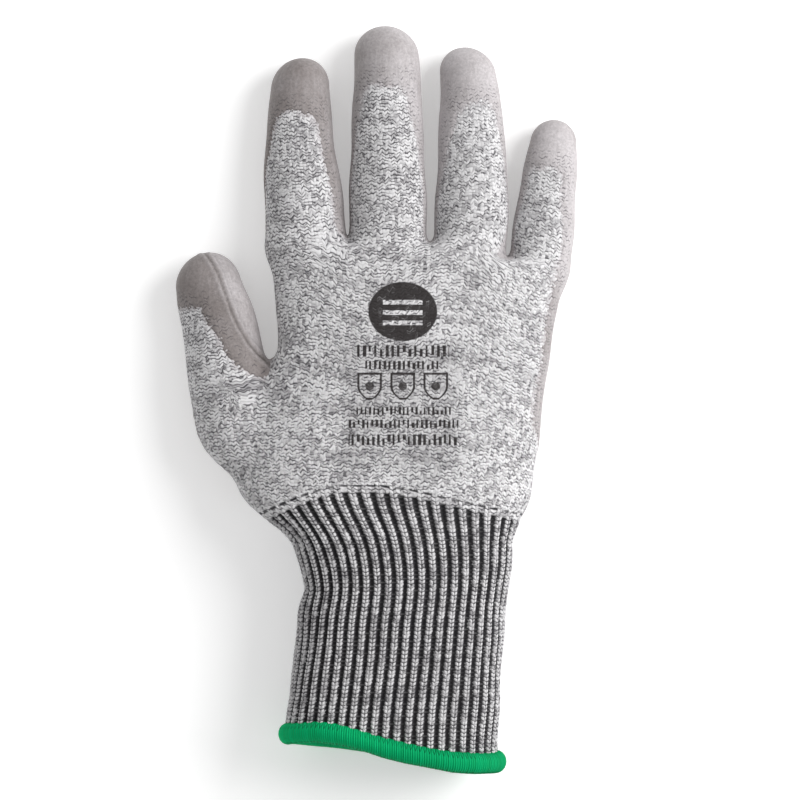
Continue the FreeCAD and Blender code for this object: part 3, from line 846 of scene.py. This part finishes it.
def rib_material():
    """1x1 rib: light stitch columns with painted shade in the grooves between them, below a row of dropped
    stitches with painted shade in them.
    """
    g = Graph("rib_knit")
    u, v = g.uv()
    height, seed, gap, side, rise = stitch_nodes(g, u, v, RIB_FACE, 0.9)
    rib = g.times(melange(g, g.mul(u, 2.3), rise, height, seed, gap, 0.75, 0.95), 0.92)
    # The grooves are painted shade, with lighter bars of the purl stitches showing in them that nibble at
    # the ribs' edges.
    purl = g.white(g.vector(g.floor(g.add(u, 0.5)), g.floor(v), 7))
    bar = g.near(g.fract(v), 0.5, 0.08, 0.3)
    shaded_groove = g.mix(g.mul(g.mul(purl, purl), g.mul(bar, 0.28)), GROOVE_SHADE, GREY_YARN)
    notch = g.mul_add(g.sub(purl, 0.5), 0.34, side)
    notch = g.mul_add(g.sub(g.math("PINGPONG", v, 0.5), 0.25), 0.66, notch)
    ribbed = g.mix(g.span(notch, 0.95, 1.16), rib, shaded_groove)
    # Above the ribs there are two plain columns for each rib.
    double = g.mul_add(u, 2, 0.5)
    plain_height, plain_seed, plain_gap, _, plain_rise = stitch_nodes(g, double, v)
    plain = melange(g, double, plain_rise, plain_height, plain_seed, plain_gap, 0.50, 1)
    join = g.value("join")
    colour = g.mix(g.span(join, 2.45, 2.85), plain, ribbed)
    # Painted shade in the row of dropped stitches near the cuff's upper end, in line with the grooves.
    between = g.near(side, 1 / RIB_FACE, 0.85, 1.20)
    row = g.near(join, 1, 0.18, 0.46)
    depth = g.mul_add(g.white(g.vector(g.floor(g.add(u, 0.5)), 0, 4)), 0.35, 0.65)
    colour = g.mix(g.mul(g.mul(row, between), depth), colour, DROPPED_STITCH_SHADE)
    fibre = g.noise(g.vector(g.mul(u, 18), g.mul(rise, 3)), 1, 2)
    return g.finish(colour, 0.9, g.bump(g.mul_add(fibre, 0.3, height), 0.0003, 0.8), sheen=0.05)


def hem_material():
    """Green overlock thread: turns along u, with v going once round the roll from its outer side."""
    g = Graph("hem_thread")
    u, v = g.uv()
    strand = g.math("SINE", g.mul(u, math.pi * 2))
    wrap = g.white(g.vector(g.floor(u), 0, 0))
    cloud = g.noise(g.vector(g.mul(u, 0.06), g.mul(v, 2)), 1, 3)
    colour = g.mix(g.mul_add(wrap, 0.5, g.mul(cloud, 0.5)), HEM_DARK, HEM_LIGHT)
    x, _, _ = g.split(g.rest())
    colour = g.times(colour, g.span(x, -36, 36, 1.12, 0.86, smooth=False))
    # Painted shade between the turns of thread.
    colour = g.times(colour, g.span(strand, -1, 0.2, 0.76, 1))
    # Crossing threads on the upper side, and ticks where the needle thread comes through.
    band = g.span(v, 0.07, 0.21, 0, 1, smooth=False)
    slope = g.mul(g.math("PINGPONG", g.mul(u, 0.5), 0.5), 2)
    cross = g.near(slope, band, 0.10, 0.24)
    inside = g.mul(g.above(v, 0.07), g.below(v, 0.235))
    loops = g.mul(g.mul(cross, inside), g.span(cloud, 0.35, 0.6, 0.25, 1))
    ticks = g.mul(g.near(v, 0.80, 0.02, 0.05), g.above(g.fract(g.mul(u, 0.66)), 0.5))
    colour = g.times(colour, g.span(g.max(loops, ticks), 0, 1, 1, 0.45))
    fibre = g.noise(g.vector(g.mul(u, 4), g.mul(v, 30)), 1, 2)
    return g.finish(colour, 0.75, g.bump(g.mul_add(fibre, 0.3, strand), 0.0001, 0.6), shine=0.08)


def elastic_material():
    g = Graph("elastic_thread")
    fine = g.noise(g.rest(), 1.2, 2)
    return g.finish(g.mix(fine, ELASTIC_DARK, ELASTIC_LIGHT), 0.6, g.bump(fine, 0.0002, 0.5))


# ---- joints ----
def limb_zone(limb, joint, half):
    """Distances from the root where a bend starts and ends. Its half length may follow from its angle."""
    x, y, z = (c / MM for c in JOINTS[joint]["pos_m"])
    s = (x - limb["root"][0]) * limb["along"][0] + (y - limb["root"][1]) * limb["along"][1]
    if half is None:
        half = 0.75 * math.radians(JOINTS[joint]["range_deg"][1]) * z + 0.4
    return s - half, s + half


def limb_pieces(name):
    """(section and body, parent body, bend zone, start, end) for each section of a finger or the thumb."""
    limb = LIMBS[name]
    levels = ("base", "tip") if name == "thumb" else ("base", "middle", "tip")
    halves = dict(base=BEND_HALF, middle=None, tip=BEND_HALF if name != "thumb" else None)
    zones = [limb_zone(limb, f"{name}_{level}_bend", halves[level]) for level in levels]
    bodies = ["palm" if name == "thumb" else "finger_panel"] + [f"{name}_{level}" for level in levels]
    cuts = [THUMB_START if name == "thumb" else 0.0]
    cuts += [(a[1] + b[0]) / 2 for a, b in zip(zones, zones[1:])] + [999.0]
    return [(bodies[k + 1], bodies[k], zones[k], cuts[k], cuts[k + 1]) for k in range(len(levels))]


def region_masks(centre):
    """Which faces belong to each section, by their centres."""
    x, y, z = centre.T
    near = nearest_finger(x, y, z)
    masks = {}
    taken = np.zeros(len(centre), bool)
    for k, name in enumerate(FINGERS):
        s = limb_coords(LIMBS[name], x, y, z)[0]
        for section, _, _, low, high in limb_pieces(name):
            masks[section] = (near == k) & (s > low) & (s <= high) & (y > FINGERS_FROM_Y)
            taken |= masks[section]
    s, a, _, half = limb_coords(THUMB, x, y, z)
    mine = (a < half + 2.5) & (x < THUMB_SIDE_X) & ~taken
    for section, _, _, low, high in limb_pieces("thumb"):
        masks[section] = mine & (s > low) & (s <= high)
        taken |= masks[section]
    masks["hand"] = ~taken
    return masks


def blend_section(piece, section):
    """Bakes a piece's transform into its mesh. For a finger or thumb section it also works out the ends of
    its joint's bend zone, which nothing uses.
    """
    if section == "hand":
        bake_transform(piece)
        return
    limb = LIMBS[section.rsplit("_", 1)[0]]
    own, parent, zone, _, _ = next(p for p in limb_pieces(limb["name"]) if p[0] == section)
    ends = [tuple((np.array(limb["root"]) + limb["along"] * s) * MM) + (0.01,) for s in zone]
    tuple(ends[0])
    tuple(ends[1])
    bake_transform(piece)


# ---- the hand ----
def join_y(x, z):
    """Where the ribbed cuff starts."""
    top = np.interp(x, JOIN_X, JOIN_TOP) + 1.3
    return JOIN_LOW + (top - JOIN_LOW) * ease(z, 12.0, 26.0)


def corner_uv(points, faces):
    """Stitch coordinates of each face corner, with the columns of the hand, of a finger or of the thumb."""
    hand, limbs, thumb = stitch_uv(*points.T)
    x, y, z = points[faces].mean(1).T
    label = nearest_finger(x, y, z)
    uv = hand[label[:, None], faces]
    ragged = 1.2 * np.sin(x * 1.9) * np.sin(x * 0.7 + 1.0)
    s = np.choose(label, [limb_coords(LIMBS[name], x, y, z)[0] for name in FINGERS])
    own = s > ragged - 2.5
    uv[own] = limbs[label[own][:, None], faces[own]]
    nearer = oval_field(x, y, z) - limb_field(THUMB, x, y, z)
    own = (limb_coords(THUMB, x, y, z)[0] > ragged) & (nearer > 0) & (x < THUMB_WALES_X)
    uv[own] = thumb[faces[own]]
    uv[:, :, 0] = np.where(np.abs(uv[:, :, 0] - uv[:, :1, 0]) > 9, uv[:, :1, 0], uv[:, :, 0])
    return uv


def thumb_ridge(points, normals):
    """The crease along the thumb's film, in mm outwards: a step down to its right with two fine grooves."""
    off = offset_from(RIDGE, points[:, 0], points[:, 1])
    shape = 0.42 * bell(off, -1.0, 0.8) - 0.36 * bell(off, 0.0, 0.5)
    shape += 0.16 * bell(off, 1.0, 0.5) - 0.22 * bell(off, 1.9, 0.45)
    return shape * ease(normals[:, 2], -0.2, 0.3)


def stitched(points, faces):
    """Stitch coordinates of each face corner, and the stitch's height at each point."""
    uv = corner_uv(points, faces)
    flat = np.zeros((len(points), 2))
    flat[faces.ravel()] = uv.reshape(-1, 2)
    return uv, stitch_height(*flat.T)


def sections(kind, material, placed, points, faces, uv, values):
    """Makes a piece for each section and bakes its transform. Yields each piece and its section."""
    shading = vertex_normals(placed, faces)
    for section, mask in region_masks(points[faces].mean(1)).items():
        piece = make_piece(kind + section, placed, faces[mask], material,
                           shading, uv[mask], values, points)
        blend_section(piece, section)
        yield piece, section


def build_knit(material):
    growth = 1.0
    points, faces = surface_net(NET_LOW, NET_HIGH, tuple(s * growth for s in FINE_STEP))
    points, normals = settle(points)
    centre = points[faces].mean(1)
    faces = faces[centre[:, 1] > join_y(centre[:, 0], centre[:, 2]) - 1.0]
    uv, height = stitched(points, faces)
    reach = film_reach(*points.T)
    cover = ease(reach + fray(*points.T), 0.2, 1.8)
    lift = -0.15 + STITCH_LIFT * (height - 0.5) * (1 - cover) - 0.55 * cover
    placed = points + normals * lift[:, None]
    values = {"film": reach}
    for piece, section in sections("knit_", material, placed, points, faces, uv, values):
        if section == "hand":
            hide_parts("knit_palm", "knit_finger_panel", "fold_knuckles")
        else:
            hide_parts("knit_" + section, "fold_" + section)


def build_film(material):
    """The film over the knit. Its edge dips under the stitches, and the thumb's crease is part of it."""
    points, faces = surface_net(NET_LOW, NET_HIGH, FILM_STEP)
    points, normals = settle(points)
    reach = film_reach(*points.T) + fray(*points.T)
    faces = faces[(reach[faces].max(1) > -0.9)]
    uv, height = stitched(points, faces)
    rise = -0.85 + 0.95 * ease(reach, -0.9, 0.8)
    rise += 0.16 * (height - 0.6) * ease(reach, -0.5, 0.8) * (1 - ease(reach, 1.0, 7.0))
    _, a, _, half = limb_coords(THUMB, *points.T)
    thumb_part = (points[:, 0] < THUMB_SIDE_X) & (points[:, 1] > 8) & (a < half + 1.5)
    ridge = np.where(thumb_part, thumb_ridge(points, normals), 0) * ease(reach, 0.5, 2.5)
    off = np.where(thumb_part, offset_from(RIDGE, points[:, 0], points[:, 1]), -99.0)
    # Painted light: a streak along the ridge, and the thumb's part right of the crease, on its upper side.
    thumb_painted_light = (0.5 * bell(off, -1.1, 0.6) + ease(off, -0.2, 1.6)) * ease(points[:, 2], 5.0, 12.0)
    # Painted shade in the crease and in the fine groove to its right.
    crease = bell(off, 0.0, 0.4) + 0.5 * bell(off, 1.9, 0.4)
    values = {"film": reach, "thumb_painted_light": thumb_painted_light, "crease": crease * ease(points[:, 2], 8.0, 14.0)}
    placed = points + normals * (rise + ridge)[:, None]
    for piece, section in sections("film_", material, placed, points, faces, uv, values):
        if section == "hand":
            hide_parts("coating_palm", "coating_finger_panel")
        else:
            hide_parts("coating_" + section)


# ---- the cuff ----
def hem_y(x, z):
    """Line of the hem's middle: wavy on the back, straight underneath."""
    share = (x - HEM_LEFT[0]) / (HEM_RIGHT[0] - HEM_LEFT[0])
    straight = HEM_LEFT[1] + (HEM_RIGHT[1] - HEM_LEFT[1]) * share
    return straight + (np.interp(x, HEM_X, HEM_TOP) - straight) * ease(z, 14.0, 30.0)


class Oval:
    """Columns round the cuff at equal steps of arc length, on a smoothed form of its outline."""

    def __init__(self, columns):
        self.column = np.arange(columns)
        self.y = np.arange(-130.0, -24.0, OVAL_STEP)
        left, right, high = (smooth_table(STATIONS[:, k], TABLE_Y, CUFF_EASE) for k in (1, 2, 3))
        tables = ((left + right) / 2, (right - left) / 2, high / 2)
        self.size = [np.interp(self.y, TABLE_Y, t) for t in tables]
        _, rx, rz = (t[:, None] for t in self.size)
        px, pz = self.outline(ARC_T[None, :], rx, rz)
        steps = np.hypot(np.diff(px, axis=1), np.diff(pz, axis=1))
        arc = np.concatenate([np.zeros((len(self.y), 1)), np.cumsum(steps, 1)], 1)
        self.turn = np.stack([np.interp(self.column / columns * a[-1], a, ARC_T) for a in arc])

    @staticmethod
    def outline(turn, rx, rz):
        """x and z on the oval at an angle from its top."""
        s, c = np.sin(turn), np.cos(turn)
        power = 2 / OVAL_POWER
        return rx * np.sign(s) * np.abs(s) ** power, rz * np.sign(c) * np.abs(c) ** power

    def at(self, column, y):
        row = np.clip((y - self.y[0]) / OVAL_STEP, 0, len(self.y) - 1.001)
        i = row.astype(int)
        f = row - i
        turn = self.turn[i, column] * (1 - f) + self.turn[i + 1, column] * f
        cx, rx, rz = (t[i] * (1 - f) + t[i + 1] * f for t in self.size)
        px, pz = self.outline(turn, rx, rz)
        return np.stack([cx + px, y, rz - SUNK + pz], -1)

    def ends(self):
        """y of the rib's start and of the hem for each column."""
        # A first guess, which four rounds correct.
        start, end = (np.full(len(self.column), y) for y in (-34.0, -117.0))
        for _ in range(4):
            top, low = self.at(self.column, start), self.at(self.column, end)
            start, end = join_y(top[:, 0], top[:, 2]), hem_y(low[:, 0], low[:, 2])
        return start, end

    def tube(self, rows, skip, rounds):
        """Points from skip mm below the rib's start to the hem, row by row, on the surface.

        Also gives the outward normals, each point's column, its y and its column's start."""
        start, end = self.ends()
        share = np.linspace(0, 1, rows)[:, None]
        y = (start + skip + (end - start - skip) * share).ravel()
        column = np.tile(self.column, rows)
        points, normals = settle(self.at(column, y), rounds)
        return points, normals, column, y, np.tile(start, rows)


def grid(columns, rows):
    """Column, next column and row of each quad of a grid that closes round a tube."""
    i, j = np.meshgrid(np.arange(columns), np.arange(rows), indexing="xy")
    return i.ravel(), (i.ravel() + 1) % columns, j.ravel()


def tube_faces(columns, rows):
    """Quads of a tube whose points run round it first, and each quad's column."""
    i, k, j = grid(columns, rows - 1)
    return np.stack([j * columns + i, (j + 1) * columns + i, (j + 1) * columns + k, j * columns + k], 1), i


def ring_tube(centre, normals, radius, around, flat=0.0):
    """A closed roll along a ring: points, quads, and each quad's column and row. Rows go round the roll."""
    columns = len(centre)
    turn = np.linspace(0, 2 * np.pi, around, endpoint=False)
    back = np.array([0.0, 1.0, 0.0])
    ring = np.cos(turn)[:, None, None] * normals[None] + np.sin(turn)[:, None, None] * back
    thick = radius[None] * (1 - flat * np.cos(2 * turn))[:, None]
    points = (centre[None] + ring * thick[:, :, None]).reshape(-1, 3)
    i, k, j = grid(columns, around)
    m = (j + 1) % around
    return points, np.stack([j * columns + i, j * columns + k, m * columns + k, m * columns + i], 1), i, j


def build_cuff(material):
    """The ribbed cuff, with a few plain courses and the row of dropped stitches at its upper end."""
    columns, rows = RIBS * PER_RIB, 270
    points, normals, column, y, start = Oval(columns).tube(rows, 0.0, 3)
    u, v = column / PER_RIB, y / RIB_COURSE
    below = (start - y) / RIB_COURSE
    side = np.abs(u - np.floor(u) - 0.5) * 2
    face = np.clip(side / RIB_FACE, 0, 1)
    rise = v + STITCH_SLANT * face / 2
    t = rise - np.floor(rise)
    leg = np.sqrt(np.clip(1 - (2 * face - 1) ** 2, 0, 1)) * (1 - np.abs(2 * t - 1) ** 3)
    rib = 0.10 - 0.25 * face ** 2 - 0.95 * ease(side, RIB_FACE * 0.8, 0.98) + 0.34 * (leg - 0.5)
    plain = -0.10 + STITCH_LIFT * (stitch_height(2 * u + 0.5, v) - 0.5)
    lift = plain + (rib - plain) * ease(below, 2.2, 3.2)
    lift -= 0.45 * bell(below, 1.0, 0.35) * ease(side, 0.5, 0.75)
    lift -= 0.5 * ease(-below, -0.30, 0.0)
    placed = points + normals * lift[:, None]
    placed[:, 2] = np.maximum(placed[:, 2], 0.02)
    faces, i = tube_faces(columns, rows)
    uv = np.stack([np.stack([i, i, i + 1, i + 1], 1) / PER_RIB, v[faces]], 2)
    piece = make_piece("cuff_ribbing", placed, faces, material,
                       vertex_normals(placed, faces), uv, {"join": below}, points)
    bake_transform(piece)
    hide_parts("cuff_rib_upper", "cuff_rib", "fold_wrist")


def build_lining(material):
    """The cuff's inner face, seen through the opening."""
    columns, rows = RIBS * INNER_PER_RIB, 60
    points, normals, column, y, _ = Oval(columns).tube(rows, 2.0, 2)
    wave = np.cos(2 * np.pi * (column / INNER_PER_RIB))
    placed = points + normals * (-2.1 + 0.25 * wave)[:, None]
    faces, i = tube_faces(columns, rows)
    faces = faces[:, ::-1]
    uv = np.stack([np.stack([i + 1, i + 1, i, i], 1) / INNER_PER_RIB + 0.5, (y / RIB_COURSE)[faces]], 2)
    below = np.full(len(placed), 20.0)
    piece = make_piece("cuff_inner_face", placed, faces, material,
                       vertex_normals(placed, faces), uv, {"join": below}, points)
    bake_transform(piece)


def build_hem(material):
    """Thread wrapped round the cuff's edge."""
    around = 20
    oval = Oval(HEM_WRAPS * PER_WRAP)
    base, normals = settle(oval.at(oval.column, oval.ends()[1]), 2)
    normals[:, 1] = 0
    normals /= np.linalg.norm(normals, axis=1, keepdims=True)
    phase = oval.column / PER_WRAP
    grain = 0.5 + 0.5 * np.sin(np.floor(phase) * 12.9898) * np.cos(np.floor(phase) * 4.1)
    radius = HEM_SIZE / 2 * (1 + 0.02 * np.sin(phase * 0.21))
    radius = radius + 0.10 * np.cos(2 * np.pi * phase) + 0.08 * grain
    inset = np.interp(base[:, 0], (0.0, 36.0), (1.2, 0.2))
    placed, faces, i, j = ring_tube(base - normals * inset[:, None], normals, radius, around, 0.06)
    low = placed[:, 2]
    placed[:, 2] = np.where(low < 0.6, 0.03 + 0.2 * np.maximum(low, 0), low)
    uv = np.stack([np.stack([i, i + 1, i + 1, i], 1) / PER_WRAP,
                   np.stack([j, j, j + 1, j + 1], 1) / around], 2)
    shading = vertex_normals(placed, faces)
    piece = make_piece("hem_thread_roll", placed, faces, material, shading, uv, rest=placed)
    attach(piece, "cuff")
    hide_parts("hem_binding")


def build_elastic(material):
    """Covered elastic threads on the cuff's inner face."""
    around = 8
    oval = Oval(180)
    thick = 0.34 + 0.05 * np.cos(oval.column * 0.7)
    every_point, every_face = [], []
    for k in range(THREADS):
        y = np.full(len(oval.column), THREAD_Y - THREAD_STEP * k)
        base, normals = settle(oval.at(oval.column, y), 2)
        placed, faces, _, _ = ring_tube(base - normals * THREAD_DEPTH, normals, thick, around)
        every_face.append(len(placed) * k + faces)
        every_point.append(placed)
    points, faces = np.concatenate(every_point), np.concatenate(every_face)
    shading = vertex_normals(points, faces)
    piece = make_piece("elastic_threads", points, faces, material, shading, rest=points)
    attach(piece, "cuff")
    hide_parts("cuff_elastic")


# ---- stage, light and camera ----
def area_light(name, place, size, power):
    """A round light that looks at the origin."""
    data = bpy.data.lights.new(name, "AREA")
    data.shape, data.size, data.energy = "DISK", size, power
    light = new_object(name, data)
    light.location = place
    aim = new_object(name + "_aim", None)
    track = light.constraints.new("TRACK_TO")
    track.target, track.track_axis, track.up_axis = aim, "TRACK_NEGATIVE_Z", "UP_Y"


def build_stage():
    """A pale paper floor, soft light, and a camera straight above the glove."""
    mesh = bpy.data.meshes.new("floor")
    corners = [(x * FLOOR_REACH, y * FLOOR_REACH, FLOOR_Z) for x, y in ((-1, -1), (1, -1), (1, 1), (-1, 1))]
    mesh.from_pydata(corners, [], [(0, 1, 2, 3)])
    floor = new_object("floor", mesh)
    g = Graph("floor_paper")
    place = g.nodes.new("ShaderNodeTexCoord").outputs["Object"]
    tone = g.mix(g.noise(place, 3.0), PAPER_DARK, PAPER_LIGHT)
    g.put(g.shader.inputs["Emission Color"], (1.0, 1.0, 1.0))
    g.put(g.shader.inputs["Emission Strength"], FLOOR_GLOW)
    mesh.materials.append(g.finish(tone, 0.9))
    world = bpy.data.worlds.new("studio")
    world.use_nodes = True
    background = world.node_tree.nodes["Background"]
    background.inputs[0].default_value = (1.0, 1.0, 1.0, 1.0)
    background.inputs[1].default_value = WORLD_LIGHT
    bpy.context.scene.world = world
    bpy.context.scene.view_settings.view_transform = "Standard"
    area_light("key", KEY_PLACE, KEY_SIZE, KEY_POWER)
    area_light("fill", FILL_PLACE, FILL_SIZE, FILL_POWER)
    camera_data = bpy.data.cameras.new("camera")
    camera_data.sensor_width = SENSOR
    camera_data.lens = SENSOR * CAMERA_HIGH / VIEW_WIDE
    camera_data.clip_end = 20.0
    camera = new_object("camera", camera_data)
    camera.location = (CAMERA_X, 0.0, CAMERA_HIGH + MIDDLE_Z)
    bpy.context.scene.camera = camera


build_stage()
build_knit(knit_material())
build_film(film_material())
ribs = rib_material()
build_cuff(ribs)
build_lining(ribs)
build_hem(hem_material())
build_elastic(elastic_material())
